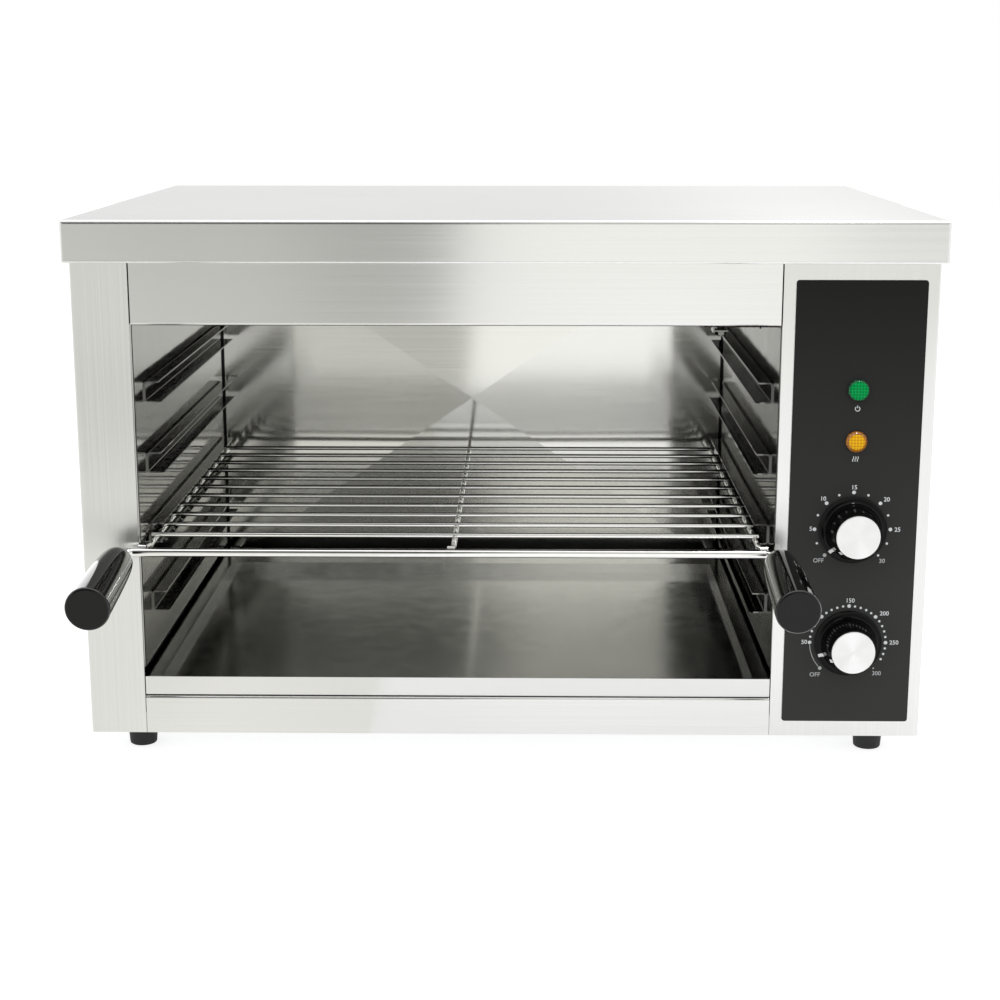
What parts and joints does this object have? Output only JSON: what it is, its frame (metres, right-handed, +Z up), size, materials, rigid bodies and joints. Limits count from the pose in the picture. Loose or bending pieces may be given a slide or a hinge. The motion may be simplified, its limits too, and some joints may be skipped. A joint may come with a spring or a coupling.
{
  "type": "cheese melter",
  "caption": "Counter-top cheese melter: open-fronted steel grill cavity with runners, a pull-out wire rack with two handles, a crumb tray, and a control box with timer and thermostat knobs.",
  "frame": {"origin": "middle of the footprint from the handles' front ends to the cable gland, on the surface that the feet stand on", "axes": "+Z up, -Y out of the open front, +X to the right as seen from the front, towards the control box"},
  "size_m": [0.6, 0.5506, 0.383],
  "materials": {
    "brushed_steel": "fine horizontal brush",
    "galvanised_steel": "matte zinc",
    "cavity_steel": "bright, nearly mirror",
    "element_sheath": "heat-darkened satin",
    "brass": "plain",
    "dark_overlay": "satin",
    "green_lens": "clear gloss",
    "amber_lens": "clear gloss",
    "white_nylon": "matte",
    "black_nylon": "matte",
    "plated_steel": "bright zinc",
    "chrome_wire": "bright",
    "black_bakelite": "polished",
    "turned_aluminium": "turned, concentric",
    "black_rubber": "matte"
  },
  "bodies": {
    "casing": {"top_cover": "brushed_steel", "left_side_panel": "brushed_steel", "control_housing": "brushed_steel", "back_panel": "galvanised_steel", "base_plate": "galvanised_steel", "upper_fascia": "brushed_steel", "lower_fascia": "brushed_steel", "cavity_left_wall": "cavity_steel", "cavity_right_wall": "cavity_steel", "cavity_back_wall": "cavity_steel", "cavity_ceiling": "cavity_steel", "left_runner_1": "cavity_steel", "left_runner_2": "cavity_steel", "left_runner_3": "cavity_steel", "left_runner_4": "cavity_steel", "right_runner_1": "cavity_steel", "right_runner_2": "cavity_steel", "right_runner_3": "cavity_steel", "right_runner_4": "cavity_steel", "left_tray_runner": "cavity_steel", "right_tray_runner": "cavity_steel", "front_element": "element_sheath", "rear_element": "element_sheath", "left_element_bracket": "cavity_steel", "right_element_bracket": "cavity_steel", "thermostat_bulb": "brass", "bulb_clip": "cavity_steel", "capillary_tube": "brass", "control_plate": "dark_overlay", "power_lamp_lens": "green_lens", "power_lamp_body": "white_nylon", "heat_lamp_lens": "amber_lens", "heat_lamp_body": "white_nylon", "timer_body": "white_nylon", "thermostat_body": "white_nylon", "control_screws": "plated_steel", "terminal_block": "white_nylon", "cable_gland": "black_nylon", "gland_nut": "black_nylon", "earth_stud": "brass", "front_left_foot": "black_rubber", "front_right_foot": "black_rubber", "rear_left_foot": "black_rubber", "rear_right_foot": "black_rubber", "foot_bolts": "plated_steel", "casing_screws": "plated_steel"},
    "rack": {"rack_front_rod": "chrome_wire", "rack_long_wires": "chrome_wire", "rack_cross_wires": "chrome_wire", "left_handle": "black_bakelite", "right_handle": "black_bakelite"},
    "crumb_tray": {"crumb_tray": "brushed_steel"},
    "timer_knob": {"timer_shaft": "plated_steel", "timer_knob": "black_bakelite", "timer_knob_cap": "turned_aluminium"},
    "thermostat_knob": {"thermostat_shaft": "plated_steel", "thermostat_knob": "black_bakelite", "thermostat_knob_cap": "turned_aluminium"}
  },
  "joints": [
    {"name": "rack_slide", "type": "slide", "parent": "casing", "child": "rack", "axis": [0, -1, 0], "range_m": [0, 0.32]},
    {"name": "crumb_tray_slide", "type": "slide", "parent": "casing", "child": "crumb_tray", "axis": [0, -1, 0], "range_m": [0, 0.31]},
    {"name": "timer_turn", "type": "hinge", "parent": "casing", "child": "timer_knob", "pos_m": [0.2425, -0.16, 0.16975], "axis": [0, 1, 0], "range_deg": [0, 270]},
    {"name": "thermostat_turn", "type": "hinge", "parent": "casing", "child": "thermostat_knob", "pos_m": [0.2425, -0.16, 0.08765], "axis": [0, 1, 0], "range_deg": [-19, 251]}
  ]
}
